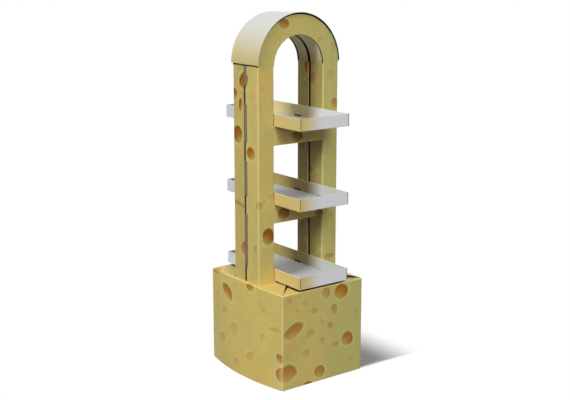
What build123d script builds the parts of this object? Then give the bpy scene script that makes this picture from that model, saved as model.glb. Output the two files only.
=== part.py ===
from build123d import *
import os
from math import sqrt

# A cardboard display stand in millimetres: +Z up, front facing -Y, origin on the floor under its middle.

# Base carton: a sleeve of heavy board, open underneath, with mitred flaps on top
base_width = 400.0
base_depth = 485.0
base_height = 386.0
base_board = 4.0
base_fold_radius = 3.0
side_bow_top = 8.0
side_bow_bottom = 32.0
mitre_gap_at_corner = 2.0
mitre_gap_at_ladder = 9.0
ladder_slot_clearance = 0.5
ladder_slot_slack_behind = 6.0

# Ladder frames: two folded sheets, back to back, that stand inside the base
frame_board = 3.0
frame_fold_radius = 5.0
frame_side_clearance = 0.5
pillar_width = 76.0
front_frame_depth = 85.0
rear_frame_depth = 70.0
frame_gap = 9.0
rail_height = 75.0
bottom_tray_lift = 8.0
tray_pitch = 308.0
spring_above_top_tray = 226.0
side_panel_above_spring = 6.0

# Slots along the rear fold of the front frame's outer side panels, listed from the top down
fold_slot_lengths = (77.0, 147.0, 139.0, 214.0)
fold_tab_length = 73.0
fold_slot_width = 18.0
fold_slot_bite = 8.0
glue_flap_width = 16.0

# Curved strips of thin card
strip_card = 1.5
soffit_step = 1.0
soffit_gap_behind_face = 4.0
cap_side_gap = 0.5
cap_lift = 5.5
cap_end_above_spring = 10.0
cap_overhang = 9.0
cap_tongue_width = 46.0
cap_tongue_length = 38.0

# Trays, with side walls rolled over to a double thickness
tray_card = 1.5
tray_depth = 490.0
tray_height = 49.0
tray_side_clearance = 1.0
tray_corner_slit = 1.0
tray_lock_slot_length = 33.0
tray_lock_slot_width = 2.5
tray_lock_slot_spacing = 150.0

# Places that follow from the sizes above
arch_half = base_width / 2 - base_board - frame_side_clearance
opening_half = arch_half - pillar_width
ladder_depth = front_frame_depth + frame_gap + rear_frame_depth
ladder_front = -ladder_depth / 2
ladder_rear = ladder_depth / 2
bottom_level = base_height + bottom_tray_lift
tray_levels = [bottom_level + i * tray_pitch for i in range(3)]
spring_height = tray_levels[-1] + spring_above_top_tray
soffit_inset = frame_board + soffit_gap_behind_face


def upright_box(x_range, y_range, z_range):
    """A box between two limits on each axis."""
    low, high = zip(x_range, y_range, z_range)
    size = [b - a for a, b in zip(low, high)]
    return Pos(*low) * Box(*size, align=(Align.MIN, Align.MIN, Align.MIN))


def half_ring(inner_radius, outer_radius, y_range):
    """The upper half of a ring about the arch's axis, between two depths."""
    ring = Plane.XZ * (Circle(outer_radius) - Circle(inner_radius))
    ring -= Plane.XZ * Pos(0, -outer_radius) * Rectangle(3 * outer_radius, 2 * outer_radius)
    solid = extrude(ring, amount=y_range[1] - y_range[0], dir=(0, 1, 0))
    return Pos(0, y_range[0], spring_height) * solid


def side_bow(z):
    """How far the middle of a side wall stands out at height z."""
    return side_bow_bottom + (side_bow_top - side_bow_bottom) * z / base_height


def sleeve_outline(z, inset, corner_radius):
    """Plan of the base at height z: straight front and rear walls, bowed side walls."""
    half_w = base_width / 2 - inset
    half_d = base_depth / 2 - inset
    bow = side_bow(z)
    with BuildSketch(Plane.XY.offset(z)) as plan:
        with BuildLine():
            Line((-half_w, -half_d), (half_w, -half_d))
            ThreePointArc((half_w, -half_d), (half_w + bow, 0), (half_w, half_d))
            Line((half_w, half_d), (-half_w, half_d))
            ThreePointArc((-half_w, half_d), (-half_w - bow, 0), (-half_w, -half_d))
        make_face()
        fillet(plan.vertices(), corner_radius)
    return plan.sketch


def mitre_gap(x_side, y_side, ladder_edge):
    """Tapered gap between two neighbouring top flaps, from a corner in to the ladder's slot."""
    corner = Vector(x_side * (base_width / 2 - base_board), y_side * (base_depth / 2 - base_board))
    inward = Vector(-x_side, -y_side).normalized()
    across = Vector(-y_side, x_side).normalized()
    length = (abs(corner.Y) - abs(ladder_edge)) * sqrt(2)
    narrow = across * (mitre_gap_at_corner / 2)
    wide = across * (mitre_gap_at_ladder / 2)
    far_end = corner + inward * length
    gap = make_face(Polyline(corner - narrow, corner + narrow, far_end + wide, far_end - wide, close=True))
    return Pos(0, 0, base_height - 2 * base_board) * extrude(gap, amount=3 * base_board, dir=(0, 0, 1))


def base_box():
    """Sleeve with bowed sides; its four top flaps are mitred and leave a slot for the ladder."""
    flap_underside = base_height - base_board
    outside = loft([sleeve_outline(0, 0, base_fold_radius),
                    sleeve_outline(base_height, 0, base_fold_radius)], ruled=True)
    inner_radius = base_fold_radius / 4
    inside = loft([sleeve_outline(0, base_board, inner_radius),
                   sleeve_outline(flap_underside, base_board, inner_radius)], ruled=True)
    box = outside - inside
    slot_front = ladder_front - ladder_slot_clearance
    slot_rear = ladder_rear + ladder_slot_slack_behind
    slot_half = base_width / 2 - base_board
    box -= upright_box((-slot_half, slot_half), (slot_front, slot_rear),
                       (base_height - 2 * base_board, base_height + base_board))
    for x_side in (-1, 1):
        box -= mitre_gap(x_side, -1, slot_front)
        box -= mitre_gap(x_side, 1, slot_rear)
    return box


def pillar(side, depth):
    """One box-section pillar, folded round its four sides. Only its outer panel rises past the spring of the arch."""
    outside = fillet(Rectangle(pillar_width, depth).vertices(), frame_fold_radius)
    inside = Rectangle(pillar_width - 2 * frame_board, depth - 2 * frame_board)
    top = spring_height + side_panel_above_spring
    tube = Pos(side * (arch_half - pillar_width / 2), depth / 2, 0) * extrude(outside - inside, amount=top)
    panel_inside = arch_half - frame_board
    tube -= upright_box((-panel_inside, panel_inside), (0, depth), (spring_height, top))
    tube -= upright_box((-arch_half, arch_half), (0, frame_fold_radius), (spring_height, top))
    return tube


def ladder_frame(depth):
    """Arched ladder folded from one sheet: two pillars, three rails and the arch, face on y = 0."""
    frame = half_ring(opening_half, arch_half, (0, frame_board))
    for side in (-1, 1):
        frame += pillar(side, depth)
    rail_half = opening_half + frame_fold_radius + frame_board
    for level in tray_levels:
        frame += upright_box((-rail_half, rail_half), (0, frame_board), (level - rail_height, level))
    return frame


def front_frame():
    """The front ladder, with long slots through the rear folds of its outer panels and a glue flap behind them."""
    frame = ladder_frame(front_frame_depth)
    top = spring_height + side_panel_above_spring
    for slot_length in fold_slot_lengths:
        for side in (-1, 1):
            x_limits = sorted((side * (arch_half + frame_board), side * (arch_half - fold_slot_bite)))
            y_limits = (front_frame_depth - fold_slot_width, front_frame_depth + frame_board)
            frame -= upright_box(x_limits, y_limits, (top - slot_length, top))
        top -= slot_length + fold_tab_length
    flap_rear = front_frame_depth - frame_board
    for side in (-1, 1):
        x_limits = sorted((side * (arch_half - frame_board), side * (arch_half - 2 * frame_board)))
        frame += upright_box(x_limits, (flap_rear - glue_flap_width, flap_rear), (0, spring_height))
    return Pos(0, ladder_front, 0) * frame


def rear_frame():
    """The rear ladder, turned to face backwards."""
    return Pos(0, ladder_rear, 0) * Rot(0, 0, 180) * ladder_frame(rear_frame_depth)


def soffit(y_range):
    """Curved strip that lines one arch behind its face and stands on the pillars' inner panels."""
    radius = opening_half + soffit_step
    return half_ring(radius, radius + strip_card, y_range)


def arch_cap():
    """Strip bent over both arches, tight at its ends and clear of the crown, its tongues tucked into the pillars."""
    radius = arch_half + cap_side_gap
    end_height = spring_height + cap_end_above_spring
    cap_ends = (ladder_front - cap_overhang, ladder_rear + cap_overhang)
    cap = Pos(0, 0, cap_lift) * half_ring(radius, radius + strip_card, cap_ends)
    cap -= upright_box((-2 * radius, 2 * radius), (2 * cap_ends[0], 2 * cap_ends[1]), (0, end_height))
    tongue_inside = arch_half - frame_board - strip_card
    pillar_middles = (ladder_front + front_frame_depth / 2, ladder_rear - rear_frame_depth / 2)
    for side in (-1, 1):
        for middle in pillar_middles:
            y_limits = (middle - cap_tongue_width / 2, middle + cap_tongue_width / 2)
            turn = sorted((side * tongue_inside, side * (radius + strip_card / 2)))
            cap += upright_box(turn, y_limits, (end_height, end_height + strip_card))
            tongue = sorted((side * tongue_inside, side * (tongue_inside + strip_card)))
            cap += upright_box(tongue, y_limits, (end_height - cap_tongue_length, end_height + strip_card))
    return cap


def tray():
    """Shallow tray, floor on z = 0: plain end walls, rolled side walls locked into slots in the floor."""
    half_w = opening_half - tray_side_clearance
    half_d = tray_depth / 2
    side_wall = 2 * tray_card
    body = upright_box((-half_w, half_w), (-half_d, half_d), (0, tray_card))
    side_end = half_d - tray_card - tray_corner_slit
    for side in (-1, 1):
        x_limits = sorted((side * half_w, side * (half_w - side_wall)))
        wall = upright_box(x_limits, (-side_end, side_end), (0, tray_height))
        body += fillet(wall.edges().filter_by(Axis.Y).group_by(Axis.Z)[-1], 0.9 * tray_card)
        y_limits = sorted((side * half_d, side * (half_d - tray_card)))
        body += upright_box((-half_w, half_w), y_limits, (0, tray_height))
    folds = body.edges().group_by(Axis.Z)[0].filter_by(GeomType.LINE)
    body = fillet(folds, tray_card / 2)
    slot_x = half_w - side_wall - tray_lock_slot_width / 2
    slot = Box(tray_lock_slot_width, tray_lock_slot_length, 4 * tray_card)
    for side in (-1, 1):
        for end in (-1, 1):
            body -= Pos(side * slot_x, end * tray_lock_slot_spacing / 2, 0) * slot
    return body


pieces = {
    "base_box": base_box(),
    "front_frame": front_frame(),
    "rear_frame": rear_frame(),
    "front_soffit": soffit((ladder_front + soffit_inset, ladder_front + front_frame_depth)),
    "rear_soffit": soffit((ladder_rear - rear_frame_depth, ladder_rear - soffit_inset)),
    "arch_cap": arch_cap(),
}
for name, level in zip(("bottom_tray", "middle_tray", "top_tray"), tray_levels):
    pieces[name] = Pos(0, 0, level) * tray()

os.makedirs("parts", exist_ok=True)
for name, piece in pieces.items():
    export_step(piece, f"parts/{name}.step")
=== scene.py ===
import math

import bmesh
import bpy
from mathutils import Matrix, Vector


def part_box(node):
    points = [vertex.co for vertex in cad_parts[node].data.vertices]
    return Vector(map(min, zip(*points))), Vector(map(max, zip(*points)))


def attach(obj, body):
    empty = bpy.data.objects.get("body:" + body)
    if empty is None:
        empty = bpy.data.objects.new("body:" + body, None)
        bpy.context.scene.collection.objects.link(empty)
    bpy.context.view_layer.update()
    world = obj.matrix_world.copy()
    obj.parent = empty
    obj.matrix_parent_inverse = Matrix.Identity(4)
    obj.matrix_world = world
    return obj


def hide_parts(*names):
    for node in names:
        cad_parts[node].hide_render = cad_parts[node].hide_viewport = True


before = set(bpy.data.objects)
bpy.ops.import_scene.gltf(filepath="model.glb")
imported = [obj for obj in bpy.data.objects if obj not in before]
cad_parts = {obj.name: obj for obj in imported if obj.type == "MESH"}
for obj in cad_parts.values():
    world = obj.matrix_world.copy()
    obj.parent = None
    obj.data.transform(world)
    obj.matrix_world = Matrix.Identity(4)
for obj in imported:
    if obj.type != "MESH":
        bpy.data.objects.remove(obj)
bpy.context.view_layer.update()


# Base carton: the foot of the stand, one sheet of corrugated board, printed outside and creased into four
# walls and four mitred flaps. It is open underneath, so its side walls bow out freely, and the flaps fold
# in round the foot of the ladder.
base_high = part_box("base_box")[1]
base_half_width = 0.200
base_half_depth = base_high.y
base_height = base_high.z
base_board = 0.004
base_fold_radius = 0.0045
base_wall_cuts = 19
crease_angle = math.radians(40)
crease_steps = 3
smooth_angle = math.radians(14)
sheet_clearance = 0.0005
close_enough = 1e-4
mostly = 0.9
side_bow_top = 0.008
side_bow_foot = base_high.x - base_half_width
front_mitre_gap = 0.015
rear_mitre_gap = 0.003
left_flap_spring = 0.003
right_flap_spring = 0.0076
right_flap_bulge = 0.006
flap_bend_lines = (0.010, 0.025, 0.040, 0.060, 0.080)
ladder_slot_slack = 0.009
ladder_slot_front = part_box("front_frame")[0].y - sheet_clearance
ladder_slot_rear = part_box("rear_frame")[1].y + ladder_slot_slack
strip_beside_ladder = 0.0045
# Painted shade: the reach of the bottom tray over the flaps, where they are painted near-black kraft.
tray_cover_half = 0.1172
tray_cover_depth = 0.2385
cheese_yellow = (0.575, 0.445, 0.125, 1)
cheese_olive = (0.430, 0.408, 0.132, 1)
cheese_rose = (0.580, 0.385, 0.110, 1)
cheese_pale = (0.680, 0.590, 0.250, 1)
cheese_brown = (0.300, 0.200, 0.050, 1)
bubble_olive = (0.420, 0.320, 0.085, 1)
# Painted fill light: a brighter ochre for the rails in the shade under the trays.
rail_fill_light_ochre = (0.660, 0.490, 0.150, 1)
hole_gold = (0.460, 0.195, 0.020, 1)
hole_brown = (0.240, 0.085, 0.012, 1)
# Partly kraft liner and partly painted shade: the unprinted side is darkened so slots and insides read
# shaded.
liner_kraft_shaded = (0.210, 0.168, 0.112, 1)
# Painted shade: near-black kraft for flaps in the gap between the ladders and under the bottom tray.
flap_kraft_shade = (0.070, 0.050, 0.028, 1)
# Partly kraft and partly painted shade: cut edges darkened so they and the gaps beside them read dark.
flute_pale_shaded = (0.120, 0.083, 0.043, 1)
flute_dark_shaded = (0.050, 0.034, 0.018, 1)
flute_scale = 42.0


def pick(piece, kind, test, free_only=False):
    """Selects in edit mode the edges or faces that pass the test, which gets the middle of each and its
    direction: along an edge, or out of a face. With free_only, only edges that border one face count."""
    bpy.ops.mesh.select_mode(type=kind)
    bpy.ops.mesh.select_all(action="DESELECT")
    sheet = bmesh.from_edit_mesh(piece.data)
    for part in sheet.edges if kind == "EDGE" else sheet.faces:
        if kind == "EDGE":
            start, end = (corner.co for corner in part.verts)
            middle = (start + end) / 2
            direction = (end - start).normalized()
            if free_only and not part.is_boundary:
                continue
        else:
            middle = part.calc_center_median()
            direction = part.normal
        if test(middle, direction):
            part.select_set(True)
    bmesh.update_edit_mesh(piece.data)


def extrude(along):
    """Pulls new card out of the selected edges."""
    bpy.ops.mesh.extrude_region_move(TRANSFORM_OT_translate={"value": along})


def squeeze(factors, about):
    """Scales what is selected about a point."""
    bpy.ops.transform.resize(value=factors, center_override=about)


def cut(place, across):
    """Cuts the selected faces in two along a plane."""
    bpy.ops.mesh.bisect(plane_co=place, plane_no=across)


def begin_piece(name):
    """Takes the primitive that was just added as the start of a piece, with its place put into its mesh."""
    piece = bpy.context.object
    piece.name = name
    piece.data.name = name
    bpy.ops.object.transform_apply(location=True, rotation=True, scale=True)
    bpy.ops.object.mode_set(mode="EDIT")
    return piece


def fold_card(piece, thickness, fold_radius, outside, inside, cut_edge):
    """Rounds the creases of a folded sheet, gives it its thickness inwards, and dresses its two faces and
    its cut edges."""
    bpy.ops.object.mode_set(mode="EDIT")
    bpy.ops.mesh.select_mode(type="EDGE")
    bpy.ops.mesh.select_all(action="DESELECT")
    bpy.ops.mesh.edges_select_sharp(sharpness=crease_angle)
    bpy.ops.mesh.bevel(offset=fold_radius, segments=crease_steps, affect="EDGES")
    bpy.ops.object.mode_set(mode="OBJECT")
    for material in (outside, inside, cut_edge):
        piece.data.materials.append(material)
    board = piece.modifiers.new("board", "SOLIDIFY")
    board.thickness = thickness
    board.offset = -1
    board.use_even_offset = True
    board.use_quality_normals = True
    board.material_offset = 1
    board.material_offset_rim = 2
    bpy.ops.object.modifier_apply(modifier=board.name)
    bpy.ops.object.shade_smooth_by_angle(angle=smooth_angle)


def add_node(tree, kind, inputs=(), **settings):
    """One shader node with its settings and its inputs by name or number, linked where a socket is
    given."""
    node = tree.nodes.new(kind)
    for name, value in settings.items():
        setattr(node, name, value)
    for place, value in dict(inputs).items():
        if isinstance(value, bpy.types.NodeSocket):
            tree.links.new(value, node.inputs[place])
        else:
            node.inputs[place].default_value = value
    return node


def math_of(tree, operation, first, second=0.0):
    """The output of one Math node."""
    return add_node(tree, "ShaderNodeMath", {0: first, 1: second}, operation=operation).outputs[0]


def mix_colours(tree, share, first, second):
    """The second colour laid over the first by its share."""
    return add_node(tree, "ShaderNodeMix", {0: share, 6: first, 7: second}, data_type="RGBA").outputs[2]


def ramp_of(tree, value, start, end):
    """A soft step from 0 at start to 1 at end."""
    inputs = {0: value, 1: start, 2: end, 3: 0.0, 4: 1.0}
    return add_node(tree, "ShaderNodeMapRange", inputs, interpolation_type="SMOOTHSTEP").outputs[0]


def noise_of(tree, place, scale, detail=2.0):
    """Cloudy noise between 0 and 1."""
    inputs = {"Vector": place, "Scale": scale, "Detail": detail}
    return add_node(tree, "ShaderNodeTexNoise", inputs).outputs[0]


def new_finish(name, roughness):
    """A material with its node tree, its shader, and the object's own coordinates."""
    material = bpy.data.materials.new(name)
    material.use_nodes = True
    tree = material.node_tree
    shader = tree.nodes["Principled BSDF"]
    shader.inputs["Roughness"].default_value = roughness
    shader.inputs["Specular IOR Level"].default_value = 0.3
    coordinates = tree.nodes.new("ShaderNodeTexCoord")
    return material, tree, shader, coordinates


def printed_hole_group():
    """Node group that prints one hole of the pattern: an ellipse in a paler rim, brown along its upper
    edge, gold inside and washed out towards its lower left. What is covered already counts as distance, so
    no hole prints on another."""
    group = bpy.data.node_groups.new("printed_hole", "ShaderNodeTree")
    sockets = {"Ground": "Color", "Covered": "Float", "Across": "Float", "Up": "Float", "Panel": "Float",
               "Middle": "Vector", "Lean": "Vector", "Size": "Vector", "Ink": "Float", "Brown": "Float"}
    for name, kind in sockets.items():
        group.interface.new_socket(name=name, in_out="INPUT", socket_type="NodeSocket" + kind)
    for name, kind in {"Print": "Color", "Covered": "Float"}.items():
        group.interface.new_socket(name=name, in_out="OUTPUT", socket_type="NodeSocket" + kind)
    given = group.nodes.new("NodeGroupInput").outputs
    flat_place = {0: given["Across"], 1: given["Up"], 2: given["Covered"]}
    place = add_node(group, "ShaderNodeCombineXYZ", flat_place).outputs[0]
    placing = {"Vector": place, "Location": given["Middle"], "Rotation": given["Lean"],
               "Scale": given["Size"]}
    own = add_node(group, "ShaderNodeMapping", placing, vector_type="TEXTURE").outputs[0]
    distance = add_node(group, "ShaderNodeVectorMath", {0: own}, operation="LENGTH").outputs["Value"]
    wobble = math_of(group, "MULTIPLY", math_of(group, "SUBTRACT", noise_of(group, place, 18.0), 0.5), 0.75)
    reach = math_of(group, "ADD", distance, wobble)
    split = add_node(group, "ShaderNodeSeparateXYZ", {0: own}).outputs
    slope = math_of(group, "ADD", split["Y"], math_of(group, "MULTIPLY", split["X"], 0.6))
    upper_edge = math_of(group, "ADD", ramp_of(group, slope, -0.8, 1.0), ramp_of(group, reach, 0.25, 1.0))
    depth = math_of(group, "MULTIPLY", upper_edge, 0.5)
    hole_ink = mix_colours(group, math_of(group, "ADD", depth, given["Brown"]), hole_gold, hole_brown)
    ink_share = math_of(group, "MULTIPLY", given["Ink"], given["Panel"])
    rim_share = math_of(group, "MULTIPLY", ramp_of(group, reach, 1.42, 1.0), 0.36)
    rim_share = math_of(group, "MULTIPLY", rim_share, ink_share)
    rimmed = mix_colours(group, rim_share, given["Ground"], cheese_pale)
    washed = math_of(group, "ADD", math_of(group, "MULTIPLY", ramp_of(group, slope, -1.1, 0.1), 0.45), 0.55)
    hole_share = math_of(group, "MULTIPLY", ramp_of(group, reach, 1.10, 0.74), washed)
    hole_share = math_of(group, "MULTIPLY", hole_share, ink_share)
    result = add_node(group, "NodeGroupOutput")
    group.links.new(mix_colours(group, hole_share, rimmed, hole_ink), result.inputs["Print"])
    group.links.new(math_of(group, "MAXIMUM", hole_share, given["Covered"]), result.inputs["Covered"])
    return group


hole_group = printed_hole_group()


def hole(across, up, wide, tall, lean=0, ink=1.0, brown=0.0):
    """One hole of the print, in millimetres on its panel, with its lean in degrees, the strength of its ink
    and how much browner it is than the rest."""
    return {"Middle": (across / 1000, up / 1000, 0), "Lean": (0, 0, math.radians(lean)),
            "Size": (wide / 2000, tall / 2000, 1), "Ink": ink, "Brown": brown}


def board_bump(tree, coordinates, shader, strength):
    """The faint washboard of the flutes under the liner, and the tooth of the paper."""
    place = coordinates.outputs["Object"]
    flutes = add_node(tree, "ShaderNodeTexWave", {"Vector": place, "Scale": flute_scale},
                      bands_direction="DIAGONAL").outputs[1]
    tooth = noise_of(tree, place, 900.0)
    height = math_of(tree, "ADD", flutes, math_of(tree, "MULTIPLY", tooth, 0.6))
    bump = add_node(tree, "ShaderNodeBump", {"Strength": strength, "Distance": 0.0006, "Height": height})
    tree.links.new(bump.outputs[0], shader.inputs["Normal"])


def print_bubbles(tree, place, ground, scale, shift, ink):
    """A scatter of small faint bubbles in the print, each darker inside with a pale lower edge."""
    moved = add_node(tree, "ShaderNodeMapping", {"Vector": place, "Location": shift}).outputs[0]
    scatter = {"Vector": moved, "Scale": scale, "Randomness": 0.9}
    cells = add_node(tree, "ShaderNodeTexVoronoi", scatter).outputs
    chance = add_node(tree, "ShaderNodeSeparateColor", {0: cells["Color"]}).outputs
    radius = math_of(tree, "MULTIPLY", math_of(tree, "SUBTRACT", chance[0], 0.55), 0.55)
    inside = ramp_of(tree, math_of(tree, "SUBTRACT", cells["Distance"], radius), 0.02, -0.05)
    edge = ramp_of(tree, math_of(tree, "SUBTRACT", cells["Distance"], radius), 0.14, 0.0)
    shown = math_of(tree, "MULTIPLY", math_of(tree, "GREATER_THAN", radius, 0.03), ink)
    edge_share = math_of(tree, "MULTIPLY", math_of(tree, "MULTIPLY", edge, shown), 0.6)
    inside_share = math_of(tree, "MULTIPLY", math_of(tree, "MULTIPLY", inside, shown), 0.7)
    return mix_colours(tree, inside_share, mix_colours(tree, edge_share, ground, cheese_pale), bubble_olive)


def printed_board(name, panels, streak_share=0.0, brown_share=0.0, inner_brown_and_shade_share=0.0, shaded_way=0,
                  shade_under_tray=False, rail_zone=None):
    """Board printed with the cheese pattern, which turns olive towards the right. Each panel is (axis it
    faces along, sign, which half of the stand it is in or 0 for both, its holes). Long panels carry faint
    upright streaks, brown is laid over them by its share, and more brown over those that face inwards by
    theirs, partly print and partly painted shade. Flaps that face one way along Y, given by its sign, or lie
    under the bottom tray, are painted near-black kraft as painted shade. Rails, within the half width and
    below the height of the rail zone, are a brighter ochre as painted fill light. Creases are paler, partly
    wear and partly painted highlight."""
    material, tree, shader, coordinates = new_finish(name, 0.55)
    place = coordinates.outputs["Object"]
    x, y, z = add_node(tree, "ShaderNodeSeparateXYZ", {0: place}).outputs
    facing = add_node(tree, "ShaderNodeSeparateXYZ", {0: coordinates.outputs["Normal"]}).outputs
    olive_clouds = math_of(tree, "MULTIPLY", ramp_of(tree, noise_of(tree, place, 6.0), 0.40, 0.66), 0.5)
    ground = mix_colours(tree, olive_clouds, cheese_yellow, cheese_olive)
    rose_place = add_node(tree, "ShaderNodeMapping", {"Vector": place, "Location": (3, 1, 2)}).outputs[0]
    rose = math_of(tree, "MULTIPLY", ramp_of(tree, noise_of(tree, rose_place, 5.0), 0.5, 0.72), 0.6)
    ground = mix_colours(tree, rose, ground, cheese_rose)
    stain_place = add_node(tree, "ShaderNodeMapping", {"Vector": place, "Location": (7, 4, 9)}).outputs[0]
    stains = math_of(tree, "MULTIPLY", ramp_of(tree, noise_of(tree, stain_place, 24.0), 0.52, 0.75), 0.30)
    ground = mix_colours(tree, stains, ground, bubble_olive)
    olive = math_of(tree, "MULTIPLY", ramp_of(tree, x, -0.10, 0.18), 0.85)
    ground = mix_colours(tree, olive, ground, cheese_olive)
    # Partly print and partly painted shade: panels that face inwards get more brown, standing in for the
    # shade inside the pillars.
    if inner_brown_and_shade_share:
        inward = math_of(tree, "LESS_THAN", math_of(tree, "MULTIPLY", facing["X"], x), -0.06)
        brown = math_of(tree, "MULTIPLY", inward, inner_brown_and_shade_share - brown_share)
        ground = mix_colours(tree, math_of(tree, "ADD", brown, brown_share), ground, cheese_brown)
    # Painted fill light: the rails under the trays are a brighter ochre than the print around them.
    if rail_zone:
        between = math_of(tree, "LESS_THAN", math_of(tree, "ABSOLUTE", x), rail_zone[0])
        on_rails = math_of(tree, "MULTIPLY", between, math_of(tree, "LESS_THAN", z, rail_zone[1]))
        on_rails = math_of(tree, "MULTIPLY", on_rails, math_of(tree, "ABSOLUTE", facing["Y"]))
        ground = mix_colours(tree, on_rails, ground, rail_fill_light_ochre)
    if streak_share:
        streaks = add_node(tree, "ShaderNodeMapping", {"Vector": place, "Scale": (1, 1, 0.06)}).outputs[0]
        pale = ramp_of(tree, noise_of(tree, streaks, 90.0), 0.45, 0.75)
        ground = mix_colours(tree, math_of(tree, "MULTIPLY", pale, streak_share), ground, cheese_pale)
    ground = print_bubbles(tree, place, ground, 13.0, (0, 0, 0), 0.55)
    ground = print_bubbles(tree, place, ground, 21.0, (5, 2, 7), 0.35)
    flat_places = {"X": (y, z), "Y": (x, z), "Z": (x, y)}
    covered = None
    for axis, sign, half, holes in panels:
        turned = math_of(tree, "GREATER_THAN", math_of(tree, "MULTIPLY", facing[axis], sign), 0.5)
        if half:
            in_half = math_of(tree, "GREATER_THAN", math_of(tree, "MULTIPLY", x, half), 0.0)
            turned = math_of(tree, "MULTIPLY", turned, in_half)
        across, up = flat_places[axis]
        on_panel = {"Across": across, "Up": up, "Panel": turned}
        for one_hole in holes:
            inputs = {"Ground": ground, "Covered": covered or 0.0, **on_panel, **one_hole}
            printed = add_node(tree, "ShaderNodeGroup", inputs, node_tree=hole_group)
            ground = printed.outputs["Print"]
            covered = printed.outputs["Covered"]
    # Painted highlight, partly wear: the rounded creases are paler than the flat panels.
    creases = math_of(tree, "MULTIPLY", facing["X"], facing["Y"])
    for first, second in (("Y", "Z"), ("X", "Z")):
        between_ways = math_of(tree, "MULTIPLY", facing[first], facing[second])
        creases = math_of(tree, "MAXIMUM", math_of(tree, "ABSOLUTE", creases),
                          math_of(tree, "ABSOLUTE", between_ways))
    worn_and_highlight = math_of(tree, "MULTIPLY", ramp_of(tree, creases, 0.1, 0.4), 0.4)
    ground = mix_colours(tree, worn_and_highlight, ground, cheese_pale)
    # Painted shade: flaps facing one way along Y are painted near-black so the gap between ladders reads
    # dark.
    if shaded_way:
        flap_shade_mask = ramp_of(tree, math_of(tree, "MULTIPLY", facing["Y"], shaded_way), 0.70, 0.95)
        ground = mix_colours(tree, flap_shade_mask, ground, flap_kraft_shade)
    # Painted shade: the flaps under the bottom tray are painted near-black so the gap under it reads dark.
    if shade_under_tray:
        flap_shade_mask = math_of(tree, "GREATER_THAN", facing["Z"], 0.5)
        for reach, limit in ((x, tray_cover_half), (y, tray_cover_depth)):
            within = math_of(tree, "LESS_THAN", math_of(tree, "ABSOLUTE", reach), limit)
            flap_shade_mask = math_of(tree, "MULTIPLY", flap_shade_mask, within)
        ground = mix_colours(tree, flap_shade_mask, ground, flap_kraft_shade)
    if covered:
        matt = math_of(tree, "SUBTRACT", 0.3, math_of(tree, "MULTIPLY", covered, 0.26))
        tree.links.new(matt, shader.inputs["Specular IOR Level"])
    tree.links.new(ground, shader.inputs["Base Color"])
    board_bump(tree, coordinates, shader, 0.12)
    return material


def plain_liner(name, colour):
    """The unprinted face of a sheet: matt paper with faint clouds in it."""
    material, tree, shader, coordinates = new_finish(name, 0.75)
    place = coordinates.outputs["Object"]
    darker = (colour[0] * 0.86, colour[1] * 0.85, colour[2] * 0.84, 1)
    tint = mix_colours(tree, ramp_of(tree, noise_of(tree, place, 9.0, 5.0), 0.35, 0.7), colour, darker)
    tree.links.new(tint, shader.inputs["Base Color"])
    board_bump(tree, coordinates, shader, 0.10)
    return material


def fluted_edge(name):
    """The cut edge of corrugated board, where the flutes' ends show as pale and dark marks, kraft brown
    darkened as painted shade.
    """
    material, tree, shader, coordinates = new_finish(name, 0.8)
    place = coordinates.outputs["Object"]
    level_place = add_node(tree, "ShaderNodeMapping", {"Vector": place, "Scale": (1, 1, 0)}).outputs[0]
    waves = {"Vector": level_place, "Scale": flute_scale, "Distortion": 0.4}
    flutes = add_node(tree, "ShaderNodeTexWave", waves, bands_direction="DIAGONAL").outputs[1]
    tint = mix_colours(tree, ramp_of(tree, flutes, 0.15, 0.6), flute_dark_shaded, flute_pale_shaded)
    tree.links.new(tint, shader.inputs["Base Color"])
    return material


base_front_holes = [
    hole(92, 351, 74, 66, ink=0.95), hole(13, 358, 46, 54, ink=0.6), hole(54, 284, 36, 52, ink=0.6),
    hole(-146, 236, 102, 56, lean=26, ink=0.8), hole(124, 146, 68, 58, lean=-20, ink=0.9),
    hole(-18, 39, 62, 54, lean=10, ink=0.8), hole(-75, 0, 46, 24), hole(-176, 68, 96, 72, lean=24, ink=0.8),
    hole(-66, 206, 56, 40, lean=20, ink=0.4), hole(36, 220, 28, 34, ink=0.6), hole(-6, 241, 20, 26, ink=0.3),
    hole(-3, 166, 32, 32, ink=0.4), hole(64, 134, 40, 26, ink=0.5), hole(-46, 297, 34, 30, ink=0.4),
    hole(-90, 335, 30, 26, ink=0.35), hole(-131, 314, 20, 20, ink=0.4), hole(-166, 360, 32, 28, ink=0.35),
    hole(-84, 131, 40, 36, ink=0.35), hole(143, 57, 28, 24, ink=0.3), hole(168, 245, 22, 60, ink=0.2),
]
base_left_holes = [
    hole(119, 317, 98, 50, lean=37, ink=0.9), hole(-38, 374, 56, 36, ink=0.9),
    hole(-204, 241, 66, 18, ink=0.45), hole(-230, 129, 46, 40, lean=40, ink=0.9),
    hole(-127, 190, 28, 36, ink=0.35), hole(137, 233, 34, 34, ink=0.35), hole(-240, 62, 66, 66, ink=0.9),
    hole(60, 175, 70, 54, lean=12, ink=0.3), hole(150, 110, 60, 50, ink=0.35),
    hole(-60, 95, 50, 40, lean=-15, ink=0.35), hole(30, 45, 50, 30, ink=0.3),
    hole(-130, 300, 40, 30, ink=0.25), hole(185, 250, 20, 56, ink=0.2), hole(205, 382, 56, 26, ink=0.8),
]
base_flap_holes = [hole(-203, 205, 40, 52, ink=0.8), hole(90, -222, 70, 30, ink=0.15)]
base_print = printed_board("base_print", [
    ("Y", -1, 0, base_front_holes), ("X", -1, 0, base_left_holes), ("X", 1, 0, base_left_holes[:8]),
    ("Y", 1, 0, base_front_holes[3:12]), ("Z", 1, 0, base_flap_holes),
], shade_under_tray=True)
board_liner = plain_liner("board_liner", liner_kraft_shaded)
board_edge = fluted_edge("board_edge")

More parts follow.
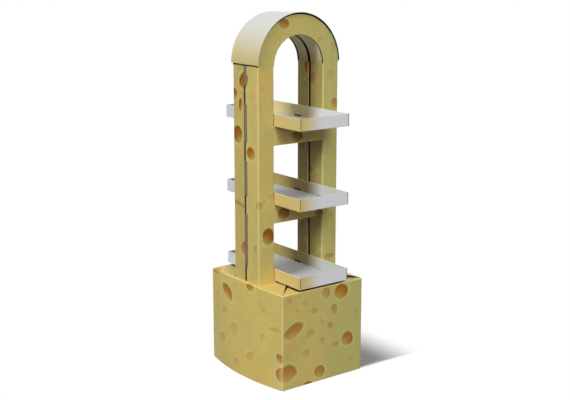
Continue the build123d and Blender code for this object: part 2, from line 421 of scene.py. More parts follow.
bpy.ops.object.select_all(action="DESELECT")
bpy.ops.mesh.primitive_cube_add(size=1, location=(0, 0, base_height / 2),
                                scale=(2 * base_half_width, 2 * base_half_depth, base_height))
base = begin_piece("base_carton")
pick(base, "FACE", lambda middle, way: abs(way.z) > mostly)
bpy.ops.mesh.delete(type="ONLY_FACE")
bpy.ops.mesh.select_all(action="SELECT")
bpy.ops.mesh.subdivide(number_cuts=base_wall_cuts)
for end, reach in ((-1, base_half_depth + ladder_slot_front), (1, base_half_depth - ladder_slot_rear)):
    pick(base, "EDGE", lambda middle, way: middle.z > base_height - close_enough
         and middle.y * end > base_half_depth - close_enough)
    extrude((0, -end * reach, 0))
    squeeze(((base_half_width - reach) / base_half_width, 1, 1), (0, 0, base_height))
side_reach = base_half_depth + ladder_slot_front
for side in (-1, 1):
    pick(base, "EDGE", lambda middle, way: middle.z > base_height - close_enough
         and middle.x * side > base_half_width - close_enough)
    extrude((-side * side_reach, 0, 0))
    squeeze((1, (base_half_depth - side_reach) / base_half_depth, 1), (0, 0, base_height))


def in_side_flap(middle, way):
    """True for card of the two side flaps, outside the mitre lines."""
    return abs(way.z) > mostly and base_half_width - abs(middle.x) < base_half_depth - abs(middle.y)


for place, across in (((0, ladder_slot_front, 0), (0, 1, 0)), ((0, ladder_slot_rear, 0), (0, 1, 0)),
                      ((strip_beside_ladder - base_half_width, 0, 0), (1, 0, 0)),
                      ((base_half_width - strip_beside_ladder, 0, 0), (1, 0, 0))):
    pick(base, "FACE", in_side_flap)
    cut(place, across)
pick(base, "FACE", lambda middle, way: in_side_flap(middle, way)
     and ladder_slot_front < middle.y < ladder_slot_rear
     and abs(middle.x) < base_half_width - strip_beside_ladder)
bpy.ops.mesh.delete(type="FACE")
mitre_length = side_reach * math.sqrt(2)
mitre_cut_reach = mitre_length + 0.2
mitre_waste_reach = mitre_length + 0.02
for x_side in (-1, 1):
    for y_side in (-1, 1):
        corner = Vector((x_side * base_half_width, y_side * base_half_depth, base_height))
        inward = Vector((-x_side, -y_side, 0)).normalized()
        across = Vector((-y_side, x_side, 0)).normalized()
        mitre_spread = (front_mitre_gap if y_side < 0 else rear_mitre_gap) / 2 / mitre_length
        for hand in (-1, 1):
            pick(base, "FACE", lambda middle, way: abs(way.z) > mostly
                 and (middle - corner).dot(inward) < mitre_cut_reach)
            cut(corner, hand * across - inward * mitre_spread)
        pick(base, "FACE", lambda middle, way: abs(way.z) > mostly
             and (middle - corner).dot(inward) < mitre_waste_reach
             and abs((middle - corner).dot(across)) < mitre_spread * (middle - corner).dot(inward))
        bpy.ops.mesh.delete(type="FACE")
for bend_line in flap_bend_lines:
    for side in (-1, 1):
        pick(base, "FACE", lambda middle, way: in_side_flap(middle, way) and middle.y < ladder_slot_front)
        cut((side * (base_half_width - bend_line), 0, 0), (1, 0, 0))
base_sheet = bmesh.from_edit_mesh(base.data)
for corner in base_sheet.verts:
    from_side = base_half_width - abs(corner.co.x)
    if corner.co.z > base_height - close_enough and corner.co.y < ladder_slot_front + close_enough and (
            from_side < base_half_depth - abs(corner.co.y)):
        spring, bulge = (left_flap_spring, 0) if corner.co.x < 0 else (right_flap_spring, right_flap_bulge)
        bent = min(1, max(0, from_side / flap_bend_lines[-1]))
        corner.co.z += spring * bent + bulge * math.sin(math.pi * bent)
    if abs(corner.co.x) > base_half_width - close_enough:
        bow = side_bow_foot + (side_bow_top - side_bow_foot) * corner.co.z / base_height
        swell = bow * (1 - (corner.co.y / base_half_depth) ** 2)
        corner.co.x += math.copysign(swell, corner.co.x)
bmesh.update_edit_mesh(base.data)
bpy.ops.mesh.select_all(action="SELECT")
bpy.ops.mesh.normals_make_consistent(inside=False)
fold_card(base, base_board, base_fold_radius, base_print, board_liner, board_edge)
bpy.ops.object.mode_set(mode="EDIT")
pick(base, "EDGE", lambda middle, way: middle.z < close_enough)
squeeze((1, 1, 0), (0, 0, 0))
bpy.ops.object.mode_set(mode="OBJECT")
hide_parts("base_box")
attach(base, "root")


# Ladder frames: two arched ladders back to back, each one sheet of thinner corrugated board with three
# rails and side panels folded back into box pillars. The front one has long slots through its rear folds,
# where tabs bent out of the rear one reach in and show their unprinted side.
frame_board = 0.003
frame_fold_radius = 0.0050
arch_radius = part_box("front_frame")[1].x
pillar_width = 0.076
opening_half = arch_radius - pillar_width
spring_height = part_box("front_frame")[1].z - arch_radius
rail_height = 0.075
tray_levels = [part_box(name)[0].z for name in ("top_tray", "middle_tray", "bottom_tray")]
rail_slit = 0.0065
left_panel_rise = 0.004
right_panel_rise = 0.0095
rear_return = 0.014
lock_tab_length = 0.026
lock_tab_play = 0.001
lock_slots = [(1.165, 1.245), (0.945, 1.092), (0.733, 0.872), (0.446, 0.660)]
lock_slot_width = 0.013
lock_slot_bite = 0.008
rear_extra_depth = 0.002
arch_steps = 96


def upright_at(reach, middle, way):
    """True for an upright edge at this distance from the middle of the stand, on either side."""
    return abs(abs(middle.x) - reach) < close_enough and abs(way.z) > mostly


def fold_ladder(name, depth, has_tabs, panel_rises):
    """The folded sheet of one ladder, with its face on y = 0 and its pillars behind it. A flap from the
    inner panel closes each pillar's back. It carries the lock tabs, or else the outer panel returns over
    it. The outer panels rise past the spring of the arch by the two rises, on the side of -X and of +X."""
    bpy.ops.object.select_all(action="DESELECT")
    bpy.ops.mesh.primitive_circle_add(vertices=arch_steps, radius=arch_radius,
                                      location=(0, 0, spring_height), rotation=(math.pi / 2, 0, 0))
    ladder = begin_piece(name)
    pick(ladder, "EDGE", lambda middle, way: middle.z < spring_height)
    bpy.ops.mesh.delete(type="EDGE")
    bpy.ops.mesh.select_all(action="SELECT")
    extrude((0, 0, 0))
    shrink = opening_half / arch_radius
    squeeze((shrink, shrink, shrink), (0, 0, spring_height))
    pick(ladder, "EDGE", lambda middle, way: abs(middle.z - spring_height) < close_enough)
    height = spring_height
    for level in tray_levels:
        for stop in (level, level - rail_height):
            extrude((0, 0, stop - height))
            height = stop
    extrude((0, 0, -height))
    for level in tray_levels:
        pick(ladder, "EDGE", lambda middle, way: upright_at(opening_half, middle, way)
             and level - rail_height < middle.z < level)
        bpy.ops.mesh.bridge_edge_loops()
    pick(ladder, "EDGE", lambda middle, way: upright_at(opening_half, middle, way)
         and middle.z < spring_height, free_only=True)
    extrude((0, rail_slit, 0))
    inner_depth = depth - sheet_clearance - (0 if has_tabs else frame_board)
    extrude((0, inner_depth - rail_slit, 0))
    for level in tray_levels:
        for side in (-1, 1):
            pick(ladder, "EDGE", lambda middle, way: abs(middle.x - side * opening_half) < close_enough
                 and middle.y > rail_slit and abs(way.y) > mostly
                 and min(abs(middle.z - level), abs(middle.z - level + rail_height)) < close_enough)
            bpy.ops.mesh.bridge_edge_loops()
    pick(ladder, "EDGE", lambda middle, way: upright_at(opening_half, middle, way)
         and abs(middle.y - inner_depth) < close_enough)
    extrude((0, 0, 0))
    flap_short = frame_board + sheet_clearance if has_tabs else lock_slot_bite - sheet_clearance
    flap_end = arch_radius - flap_short
    squeeze((flap_end / opening_half, 1, 1), (0, 0, 0))
    if has_tabs:
        for low, high in lock_slots:
            for height in (low + lock_tab_play, min(high, spring_height) - lock_tab_play):
                pick(ladder, "FACE", lambda middle, way: abs(way.y) > mostly
                     and middle.y > inner_depth - close_enough)
                cut((0, 0, height), (0, 0, 1))
        pick(ladder, "EDGE", lambda middle, way: upright_at(flap_end, middle, way)
             and any(low + lock_tab_play < middle.z < high - lock_tab_play for low, high in lock_slots))
        extrude((0, lock_tab_length, 0))
    pick(ladder, "EDGE", lambda middle, way: upright_at(arch_radius, middle, way)
         and middle.z < spring_height, free_only=True)
    extrude((0, depth, 0))
    if not has_tabs:
        extrude((0, 0, 0))
        squeeze(((arch_radius - rear_return) / arch_radius, 1, 1), (0, 0, 0))
    for side, rise in zip((-1, 1), panel_rises):
        pick(ladder, "EDGE", lambda middle, way: abs(middle.z - spring_height) < close_enough
             and middle.y > frame_board and middle.x * side > 0
             and (abs(middle.x) > arch_radius - close_enough or middle.y > depth - close_enough))
        extrude((0, 0, rise))
    return ladder


def cut_lock_slots(ladder, depth):
    """Cuts the long slots out of the rear folds of the outer side panels."""
    def at_rear_fold(middle, way):
        on_outer_panel = abs(middle.x) > arch_radius - close_enough and middle.y > close_enough
        return on_outer_panel or middle.y > depth - close_enough

    for low, high in lock_slots:
        for height in (low, high):
            pick(ladder, "FACE", at_rear_fold)
            cut((0, 0, height), (0, 0, 1))
    pick(ladder, "FACE", at_rear_fold)
    cut((0, depth - lock_slot_width, 0), (0, 1, 0))
    for side in (-1, 1):
        pick(ladder, "FACE", lambda middle, way: middle.y > depth - close_enough)
        cut((side * (arch_radius - lock_slot_bite), 0, 0), (1, 0, 0))
    pick(ladder, "FACE", lambda middle, way: at_rear_fold(middle, way)
         and middle.y > depth - lock_slot_width and abs(middle.x) > arch_radius - lock_slot_bite
         and any(low < middle.z < high for low, high in lock_slots))
    bpy.ops.mesh.delete(type="FACE")


def stand_ladder(ladder, node, turn, print_finish):
    """Turns a folded ladder to its side of the stand, sets it against its place and dresses it."""
    low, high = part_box(node)
    bpy.ops.mesh.select_all(action="SELECT")
    bpy.ops.mesh.normals_make_consistent(inside=False)
    sheet = bmesh.from_edit_mesh(ladder.data)
    face = next(part for part in sheet.faces if part.calc_center_median().y < close_enough)
    if face.normal.y > 0:
        bpy.ops.mesh.flip_normals()
    bpy.ops.transform.rotate(value=turn, orient_axis="Z", center_override=(0, 0, 0))
    bpy.ops.transform.translate(value=(0, high.y if turn else low.y, 0))
    fold_card(ladder, frame_board, frame_fold_radius, print_finish, board_liner, board_edge)
    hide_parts(node)
    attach(ladder, "root")


front_face_holes = [
    hole(-173, 1156, 30, 30, ink=0.2), hole(-190, 708, 34, 38, ink=0.5), hole(-149, 580, 60, 74, brown=0.4),
    hole(-130, 731, 40, 40, ink=0.25), hole(-72, 1397, 52, 40, ink=0.85, brown=0.2),
    hole(103, 1329, 40, 30, ink=0.2), hole(169, 1298, 40, 40, ink=0.2), hole(155, 1189, 40, 46, ink=0.25),
    hole(180, 1076, 42, 44, ink=0.7), hole(167, 620, 30, 24, ink=0.25), hole(168, 544, 30, 24, ink=0.25),
    hole(159, 448, 52, 26, ink=0.6), hole(-4, 962, 56, 46, ink=0.9), hole(-75, 663, 60, 54, ink=0.9),
    hole(104, 634, 50, 40, ink=0.9),
]
front_left_holes = [
    hole(-35, 905, 56, 54), hole(-51, 1127, 40, 40, ink=0.2), hole(-86, 705, 40, 40, ink=0.5),
    hole(-61, 528, 20, 48, ink=0.5), hole(8, 1185, 66, 70, brown=0.3), hole(11, 520, 54, 64, ink=0.7),
]
front_inner_holes = [
    hole(-19, 1174, 40, 64, ink=0.7), hole(-6, 800, 32, 36, ink=0.8), hole(-26, 459, 22, 22, ink=0.5),
]
rear_left_holes = [
    hole(11, 1185, 66, 70, brown=0.4), hole(80, 1125, 54, 48, brown=0.4), hole(33, 1091, 24, 62, brown=0.4),
    hole(52, 971, 66, 78, brown=0.4), hole(46, 693, 106, 22, lean=12, ink=0.7),
    hole(11, 520, 54, 64, ink=0.8),
]
rear_inner_holes = [hole(22, 1212, 34, 60), hole(50, 900, 40, 50, ink=0.5), hole(45, 560, 44, 40, ink=0.5)]
rail_zone = (opening_half, spring_height)
front_print = printed_board("front_ladder_print", [
    ("Y", -1, 0, front_face_holes), ("X", -1, -1, front_left_holes), ("X", -1, 1, front_inner_holes),
    ("X", 1, 1, front_left_holes[:4]), ("X", 1, -1, front_inner_holes[1:]),
], streak_share=0.15, inner_brown_and_shade_share=0.5, shaded_way=1, rail_zone=rail_zone)
rear_print = printed_board("rear_ladder_print", [
    ("Y", 1, 0, front_face_holes), ("X", -1, -1, rear_left_holes), ("X", -1, 1, rear_inner_holes),
    ("X", 1, 1, rear_left_holes), ("X", 1, -1, rear_inner_holes[1:]),
], streak_share=0.15, brown_share=0.25, inner_brown_and_shade_share=0.75, shaded_way=-1, rail_zone=rail_zone)
front_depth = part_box("front_frame")[1].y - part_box("front_frame")[0].y
rear_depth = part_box("rear_frame")[1].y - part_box("rear_frame")[0].y + rear_extra_depth
front_ladder = fold_ladder("front_ladder", front_depth, False, (left_panel_rise, right_panel_rise))
cut_lock_slots(front_ladder, front_depth)
stand_ladder(front_ladder, "front_frame", 0, front_print)
rear_ladder = fold_ladder("rear_ladder", rear_depth, True, (right_panel_rise, left_panel_rise))
stand_ladder(rear_ladder, "rear_frame", math.pi, rear_print)


# Soffit strips: inside each arch a strip of unprinted card is bent into the curve and stands on the tops of
# the pillars' inner panels, behind the arched face.
strip_card = 0.0015
strip_steps = 128
soffit_edge_radius = 0.0004
soffit_fade_height = 0.06
soffit_grey = (0.850, 0.765, 0.510, 1)
# Painted shade: tan and darker at the soffits' lower ends.
soffit_foot_shade = (0.500, 0.420, 0.215, 1)


def soffit_finish():
    """Unprinted grey card, tan and darker towards its two lower ends as painted shade."""
    material, tree, shader, coordinates = new_finish("soffit_card", 0.75)
    place = coordinates.outputs["Object"]
    height = add_node(tree, "ShaderNodeSeparateXYZ", {0: place}).outputs["Z"]
    drift = math_of(tree, "MULTIPLY", math_of(tree, "SUBTRACT", noise_of(tree, place, 12.0), 0.5), 0.05)
    fade_end = spring_height + soffit_fade_height
    fade = ramp_of(tree, math_of(tree, "ADD", height, drift), spring_height, fade_end)
    tree.links.new(mix_colours(tree, fade, soffit_foot_shade, soffit_grey), shader.inputs["Base Color"])
    board_bump(tree, coordinates, shader, 0.08)
    return material


soffit_card = soffit_finish()
card_edge_white = (0.780, 0.760, 0.680, 1)
card_edge = plain_liner("card_edge", card_edge_white)


def bend_strip(name, node, end_height, front_trim=0.0, rear_trim=0.0):
    """A strip of card bent to an arc that ends at a height: the outer radius, the crown and the length of
    its node, less what is trimmed off its front and rear edges."""
    low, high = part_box(node)
    front, rear = low.y + front_trim, high.y - rear_trim
    middle = (0, (front + rear) / 2, high.z - high.x)
    bpy.ops.object.select_all(action="DESELECT")
    bpy.ops.mesh.primitive_cylinder_add(vertices=strip_steps, radius=high.x, depth=rear - front,
                                        end_fill_type="NOTHING", location=middle,
                                        rotation=(math.pi / 2, 0, 0))
    strip = begin_piece(name)
    bpy.ops.mesh.select_all(action="SELECT")
    bpy.ops.mesh.bisect(plane_co=(0, 0, end_height), plane_no=(0, 0, 1), clear_inner=True)
    return strip


for name, node, front_trim, rear_trim in (("front_soffit_strip", "front_soffit", 0.002, 0.004),
                                          ("rear_soffit_strip", "rear_soffit", 0.003, 0.004)):
    soffit = bend_strip(name, node, spring_height, front_trim, rear_trim)
    fold_card(soffit, strip_card, soffit_edge_radius, soffit_card, soffit_card, board_edge)
    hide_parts(node)
    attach(soffit, "root")


# Arch cap: one strip of card, cream at its ends and faded to white at the top, bent over both arches, tight
# at its ends and clear of the crown. Two tongues at each end turn in and tuck into the open tops of the
# pillars.
cap_low, cap_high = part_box("arch_cap")
cap_end_height = spring_height + 0.010
cap_tongue_half = 0.023
cap_tongue_turn = 0.0055
cap_tongue_drop = cap_end_height - cap_low.z
cap_tongue_root = cap_end_height + 0.012
cap_fold_radius = 0.001
cap_fade_limits = (cap_end_height - 0.03, cap_high.z - 0.02)
tongue_shade_limits = (cap_end_height - 0.0004, cap_end_height - 0.0016)
cap_cream = (0.535, 0.445, 0.170, 1)
cap_white = (0.500, 0.505, 0.480, 1)
cap_shade = (0.035, 0.031, 0.024, 1)
cap_rear_drop = 0.003
cap_askew = 0.0035
cap_lean = 0.0025
# Painted shade: dark brown for the cap's tongues and cut edge.
tongue_shade_brown = (0.075, 0.060, 0.040, 1)


def cap_finish():
    """Card whose print fades from cream at its ends to white at the crown, with its tongues left
    unprinted and darkened as painted shade."""
    material, tree, shader, coordinates = new_finish("cap_print", 0.6)
    place = coordinates.outputs["Object"]
    height = add_node(tree, "ShaderNodeSeparateXYZ", {0: place}).outputs["Z"]
    drift = math_of(tree, "MULTIPLY", math_of(tree, "SUBTRACT", noise_of(tree, place, 7.0), 0.5), 0.08)
    fade = ramp_of(tree, math_of(tree, "ADD", height, drift), *cap_fade_limits)
    tint = mix_colours(tree, fade, cap_cream, cap_white)
    tongues = ramp_of(tree, height, *tongue_shade_limits)
    tree.links.new(mix_colours(tree, tongues, tint, tongue_shade_brown), shader.inputs["Base Color"])
    board_bump(tree, coordinates, shader, 0.06)
    return material


# Painted shade: the cap's cut edge is dark brown so the line along the arch reads dark.
cap_edge = plain_liner("cap_edge", tongue_shade_brown)
cap = bend_strip("bent_cap", "arch_cap", cap_end_height)
tongue_middles = [(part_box(node)[0].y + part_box(node)[1].y) / 2 for node in ("front_frame", "rear_frame")]
for middle_y in tongue_middles:
    for edge_y in (middle_y - cap_tongue_half, middle_y + cap_tongue_half):
        pick(cap, "FACE", lambda middle, way: middle.z < cap_tongue_root)
        cut((0, edge_y, 0), (0, 1, 0))
for side in (-1, 1):
    for middle_y in tongue_middles:
        pick(cap, "EDGE", lambda middle, way: middle.z < cap_end_height + close_enough
             and middle.x * side > 0 and abs(middle.y - middle_y) < cap_tongue_half, free_only=True)
        extrude((-side * cap_tongue_turn, 0, 0))
        extrude((0, 0, -cap_tongue_drop))
cap_sheet = bmesh.from_edit_mesh(cap.data)
for corner in cap_sheet.verts:
    rise = max(0, corner.co.z - cap_end_height) / (cap_high.z - cap_end_height)
    corner.co.z -= cap_rear_drop * rise * (corner.co.y - cap_low.y) / (cap_high.y - cap_low.y)
    corner.co.y += cap_askew * max(0, corner.co.x) / cap_high.x
    corner.co.x -= cap_lean * rise
bmesh.update_edit_mesh(cap.data)
# Painted shade: the cap's underside is near black so the gap under the crown reads dark.
fold_card(cap, strip_card, cap_fold_radius, cap_finish(), plain_liner("cap_underside", cap_shade), cap_edge)
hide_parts("arch_cap")
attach(cap, "root")


# Trays: three shallow open trays that rest on the rails, each one sheet of white card. The long walls are
# rolled over into double walls whose tabs lock into slots in the floor, and the end walls fold up with an
# open slit at each corner. A lock slot is given by its middle, its length and the height of its notch.
tray_card = 0.0013
tray_fold_radius = 0.0014
tray_roll = 0.003
tray_wall_lift = 0.0004
tray_slit = 0.994
tray_lock_slots = [(0.077, 0.044, 0.007), (-0.068, 0.033, 0.002)]
tray_lock_width = 0.003
tray_hollow_start = tray_roll - 0.0002
least_floor_area = 0.02
tray_front_fade = (-0.115, 0.000)
tray_rear_fade = (-0.040, 0.080)
far_wall_shade_fade = (0.040, -0.080)
slit_shade_inset = (0.005, 0.003)
tray_white = (0.700, 0.705, 0.745, 1)
tray_cream = (0.600, 0.475, 0.175, 1)
tray_fold_highlight = (0.800, 0.740, 0.540, 1)
tray_inside_white = (0.510, 0.515, 0.515, 1)
tray_hollow_shade = (0.030, 0.026, 0.020, 1)
tray_greyback_and_shade = (0.170, 0.155, 0.130, 1)
tray_slit_shade = (0.200, 0.135, 0.060, 1)
# Painted shade and bounce light, partly cream print: the far wall runs tan at the rear to greyed white in
# front.
far_wall_shade_tan = (0.390, 0.300, 0.105, 1)
far_wall_shade_white = (0.530, 0.545, 0.530, 1)
top_far_wall_shade_tan = (0.610, 0.510, 0.250, 1)
top_far_wall_shade_white = (0.640, 0.645, 0.640, 1)


def tray_print(name, half_width, wall_shade_tan, wall_shade_white):
    """White card printed cream round the left front corner, fading to white along the front and towards the
    rear. Inside the far wall, painted shade and bounce light run tan at the rear to grey-white in front.
    Upward folds carry a painted highlight, the end walls carry painted shade where they run into the corner
    slits, and underneath is unprinted greyboard darkened as painted shade."""
    material, tree, shader, coordinates = new_finish(name, 0.5)
    place = coordinates.outputs["Object"]
    facing = add_node(tree, "ShaderNodeSeparateXYZ", {0: coordinates.outputs["Normal"]}).outputs
    x, y = add_node(tree, "ShaderNodeSeparateXYZ", {0: place}).outputs[:2]
    drift = math_of(tree, "MULTIPLY", math_of(tree, "SUBTRACT", noise_of(tree, place, 8.0), 0.5), 0.06)
    front_fade = ramp_of(tree, math_of(tree, "ADD", x, drift), *tray_front_fade)
    rear_fade = ramp_of(tree, math_of(tree, "ADD", y, drift), *tray_rear_fade)
    tint = mix_colours(tree, math_of(tree, "MAXIMUM", front_fade, rear_fade), tray_cream, tray_white)
    wall_shade_fade = ramp_of(tree, math_of(tree, "ADD", y, drift), *far_wall_shade_fade)
    faces_left = math_of(tree, "LESS_THAN", facing["X"], -0.7)
    far_wall = math_of(tree, "MULTIPLY", math_of(tree, "GREATER_THAN", x, 0.0), faces_left)
    tint = mix_colours(tree, far_wall, tint, mix_colours(tree, wall_shade_fade, wall_shade_tan, wall_shade_white))
    # Painted highlight: upward-facing folds are paler.
    fold_highlight = math_of(tree, "MULTIPLY", ramp_of(tree, facing["Z"], 0.2, 0.7), 0.7)
    tint = mix_colours(tree, fold_highlight, tint, tray_fold_highlight)
    # Painted shade: a dark line where the end walls meet the corner slits.
    end_wall = math_of(tree, "GREATER_THAN", math_of(tree, "ABSOLUTE", facing["Y"]), 0.7)
    corner_start, corner_end = (half_width - inset for inset in slit_shade_inset)
    at_corner = ramp_of(tree, math_of(tree, "ABSOLUTE", x), corner_start, corner_end)
    in_slit = math_of(tree, "MULTIPLY", math_of(tree, "MULTIPLY", end_wall, at_corner), 0.75)
    tint = mix_colours(tree, in_slit, tint, tray_slit_shade)
    # Partly greyboard and partly painted shade: the underside is darkened so the gap under each tray reads
    # dark.
    tint = mix_colours(tree, ramp_of(tree, facing["Z"], -0.6, -0.9), tint, tray_greyback_and_shade)
    tree.links.new(tint, shader.inputs["Base Color"])
    board_bump(tree, coordinates, shader, 0.05)
    return material


def tray_lining(half_width):
    """The plain white inside of a tray, with painted shade in the hollow between its double walls."""
    material, tree, shader, coordinates = new_finish("tray_inside", 0.75)
    place = coordinates.outputs["Object"]
    x = add_node(tree, "ShaderNodeSeparateXYZ", {0: place}).outputs["X"]
    shade = math_of(tree, "MULTIPLY", ramp_of(tree, noise_of(tree, place, 9.0, 5.0), 0.35, 0.7), 0.1)
    tint = mix_colours(tree, shade, tray_inside_white, tray_greyback_and_shade)
    # Painted shade: the hollow between the double walls is near black.
    hollow = math_of(tree, "GREATER_THAN", math_of(tree, "ABSOLUTE", x), half_width - tray_hollow_start)
    tree.links.new(mix_colours(tree, hollow, tint, tray_hollow_shade), shader.inputs["Base Color"])
    board_bump(tree, coordinates, shader, 0.10)
    return material


tray_half_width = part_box("top_tray")[1].x
# The top tray gets a lighter copy of the far wall's painted shade.
tray_outside = tray_print("tray_print", tray_half_width, far_wall_shade_tan, far_wall_shade_white)
top_tray_outside = tray_print("top_tray_print", tray_half_width, top_far_wall_shade_tan, top_far_wall_shade_white)
tray_inside = tray_lining(tray_half_width)


def fold_tray(name, node, outside):
    """One tray, folded up from its floor, with the inner panels of its long walls notched over the lock
    slots."""
    low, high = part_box(node)
    half_width, half_depth, height = high.x, high.y, high.z - low.z
    bpy.ops.object.select_all(action="DESELECT")
    bpy.ops.mesh.primitive_plane_add(size=1, location=(0, 0, low.z))
    bpy.context.object.scale = (2 * half_width, 2 * half_depth, 1)
    tray = begin_piece(name)
    slot_foot = half_width - tray_roll
    width = tray_lock_width
    for middle_y, length, notch in tray_lock_slots:
        for slot_end in (middle_y - length / 2, middle_y + length / 2):
            bpy.ops.mesh.select_all(action="SELECT")
            cut((0, slot_end, 0), (0, 1, 0))
        for slot_side in (-slot_foot, width - slot_foot, slot_foot - width, slot_foot):
            bpy.ops.mesh.select_all(action="SELECT")
            cut((slot_side, 0, 0), (1, 0, 0))
        pick(tray, "FACE", lambda middle, way: abs(middle.y - middle_y) < length / 2
             and slot_foot - width < abs(middle.x) < slot_foot)
        bpy.ops.mesh.delete(type="FACE")
    pick(tray, "EDGE", lambda middle, way: abs(way.y) > mostly and abs(middle.x) > half_width - close_enough)
    extrude((0, 0, height))
    extrude((0, 0, 0))
    squeeze(((half_width - tray_roll) / half_width, 1, 1), (0, 0, 0))
    extrude((0, 0, tray_card + tray_wall_lift - height))
    for middle_y, length, notch in tray_lock_slots:
        notch_top = low.z + tray_card + notch
        pick(tray, "FACE", lambda middle, way: abs(way.x) > mostly
             and abs(middle.x) < slot_foot + close_enough)
        cut((0, 0, notch_top), (0, 0, 1))
        pick(tray, "FACE", lambda middle, way: abs(way.x) > mostly
             and abs(middle.x) < slot_foot + close_enough
             and abs(middle.y - middle_y) < length / 2 and middle.z < notch_top)
        bpy.ops.mesh.delete(type="FACE")
    pick(tray, "EDGE", lambda middle, way: abs(way.x) > mostly
         and abs(middle.y) > half_depth - close_enough
         and abs(middle.z - low.z) < close_enough, free_only=True)
    extrude((0, 0, height))
    squeeze((tray_slit, 1, 1), (0, 0, 0))
    bpy.ops.mesh.select_all(action="SELECT")
    bpy.ops.mesh.normals_make_consistent(inside=False)
    sheet = bmesh.from_edit_mesh(tray.data)
    floor_face = next(part for part in sheet.faces
                      if abs(part.normal.z) > mostly and part.calc_area() > least_floor_area)
    if floor_face.normal.z > 0:
        bpy.ops.mesh.flip_normals()
    fold_card(tray, tray_card, tray_fold_radius, outside, tray_inside, card_edge)
    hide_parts(node)
    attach(tray, "root")


fold_tray("folded_bottom_tray", "bottom_tray", tray_outside)
fold_tray("folded_middle_tray", "middle_tray", tray_outside)
fold_tray("folded_top_tray", "top_tray", top_tray_outside)


# Floor, light and camera: a plain white floor, seen from the left, a little above the stand's middle. One
# soft lamp hangs high on the left, a larger one in front, weak ones low in front and behind on the right,
# and a dim dome fills in.
camera_place = Vector((-2.53494, -3.35558, 1.65197))
camera_aim = Vector((-0.00543, 0, 0.69099))
focal_pixels = 1072.9
picture_width = 570
sensor_width = 36.0
floor_size = 24
floor_seen = (0.300, 0.300, 0.300, 1)
floor_bounce = (0.07, 0.07, 0.07, 1)
shadow_fade_right = (0.30, 0.55)
shadow_fade_left = (-0.12, 0.02)
shadow_fade_front = (0.225, 0.250)
shadow_fade_rear = (0.30, 0.60)
sky_low = 0.02
sky_high = 1.12
sky_rise_start = 0.45
lamp_aim = Vector((0, 0, 0.7))
left_lamp = {"place": Vector((-9.4, -1.90, 7.1)), "power": 990, "size": 3.4}
front_lamp = {"place": Vector((-2.6, -12.0, 8.1)), "power": 1060, "size": 4.8}
low_lamp = {"place": Vector((0.5, -9.0, 0.9)), "power": 56, "size": 3.0}
rear_lamp = {"place": Vector((9.0, 8.0, 4.6)), "power": 330, "size": 5.0}


def seen_by_rays(tree):
    """1 for rays that show a thing to the camera, in a reflection too, and 0 for rays that light other
    things."""
    rays = add_node(tree, "ShaderNodeLightPath").outputs
    mirrored = math_of(tree, "MAXIMUM", rays["Is Glossy Ray"], rays["Is Transmission Ray"])
    return math_of(tree, "MAXIMUM", rays["Is Camera Ray"], mirrored)


bpy.ops.object.select_all(action="DESELECT")
bpy.ops.mesh.primitive_plane_add(size=floor_size, location=(0, 0, 0))
floor = bpy.context.object
floor.name = "studio_floor"
floor_finish = bpy.data.materials.new("studio_floor_white")
floor_finish.use_nodes = True
floor_tree = floor_finish.node_tree
floor_tree.nodes.remove(floor_tree.nodes["Principled BSDF"])
seen = seen_by_rays(floor_tree)
floor_place = add_node(floor_tree, "ShaderNodeTexCoord").outputs["Object"]
floor_x, floor_y = add_node(floor_tree, "ShaderNodeSeparateXYZ", {0: floor_place}).outputs[:2]
glow = ramp_of(floor_tree, floor_x, *shadow_fade_right)
for reach, sign, fade in ((floor_x, -1, shadow_fade_left), (floor_y, -1, shadow_fade_front),
                          (floor_y, 1, shadow_fade_rear)):
    past_edge = ramp_of(floor_tree, math_of(floor_tree, "MULTIPLY", reach, sign), *fade)
    glow = math_of(floor_tree, "MAXIMUM", glow, past_edge)
paper_tone = mix_colours(floor_tree, seen, floor_bounce, floor_seen)
paper = add_node(floor_tree, "ShaderNodeBsdfDiffuse", {"Color": paper_tone}).outputs[0]
shine = add_node(floor_tree, "ShaderNodeEmission", {"Color": (1, 1, 1, 1), "Strength": 1.0}).outputs[0]
floor_mix = add_node(floor_tree, "ShaderNodeMixShader",
                     {0: math_of(floor_tree, "MULTIPLY", glow, seen), 1: paper, 2: shine})
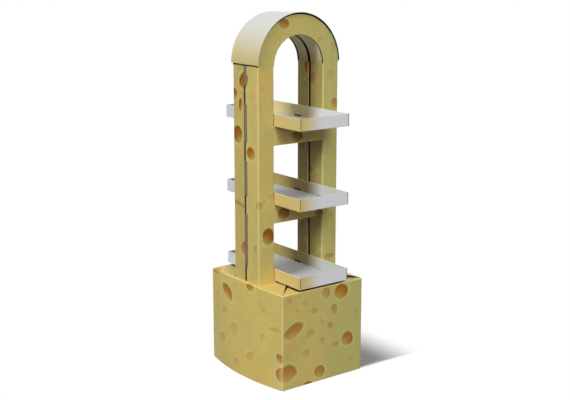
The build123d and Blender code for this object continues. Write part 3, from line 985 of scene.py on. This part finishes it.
floor_tree.links.new(floor_mix.outputs[0], floor_tree.nodes["Material Output"].inputs["Surface"])
floor.data.materials.append(floor_finish)

world = bpy.data.worlds.new("studio_white")
world.use_nodes = True
bpy.context.scene.world = world
world_tree = world.node_tree
world_seen = seen_by_rays(world_tree)
soft_light = world_tree.nodes["Background"]
soft_light.inputs["Color"].default_value = (1, 1, 1, 1)
sky_way = add_node(world_tree, "ShaderNodeTexCoord").outputs["Generated"]
sky_rise = add_node(world_tree, "ShaderNodeSeparateXYZ", {0: sky_way}).outputs["Z"]
sky_share = ramp_of(world_tree, sky_rise, sky_rise_start, 1.0)
sky = math_of(world_tree, "MULTIPLY", sky_share, sky_high - sky_low)
world_tree.links.new(math_of(world_tree, "ADD", sky, sky_low), soft_light.inputs["Strength"])
backdrop = add_node(world_tree, "ShaderNodeBackground", {"Color": (1, 1, 1, 1), "Strength": 1.0})
world_mix = add_node(world_tree, "ShaderNodeMixShader",
                     {0: world_seen, 1: soft_light.outputs[0], 2: backdrop.outputs[0]})
world_tree.links.new(world_mix.outputs[0], world_tree.nodes["World Output"].inputs["Surface"])


def hang_lamp(name, place, power, size):
    """A soft square lamp that points at the middle of the stand."""
    lamp = bpy.data.lights.new(name, "AREA")
    lamp.energy = power
    lamp.size = size
    holder = bpy.data.objects.new(name, lamp)
    bpy.context.collection.objects.link(holder)
    holder.location = place
    holder.rotation_euler = (lamp_aim - place).to_track_quat("-Z", "Y").to_euler()


hang_lamp("left_softbox", **left_lamp)
hang_lamp("front_softbox", **front_lamp)
hang_lamp("low_softbox", **low_lamp)
hang_lamp("rear_softbox", **rear_lamp)

lens = bpy.data.cameras.new("stand_camera")
lens.sensor_width = sensor_width
lens.lens = focal_pixels * sensor_width / picture_width
camera = bpy.data.objects.new("stand_camera", lens)
bpy.context.collection.objects.link(camera)
camera.location = camera_place
camera.rotation_euler = (camera_aim - camera_place).to_track_quat("-Z", "Y").to_euler()
bpy.context.scene.camera = camera
bpy.context.scene.view_settings.view_transform = "Standard"
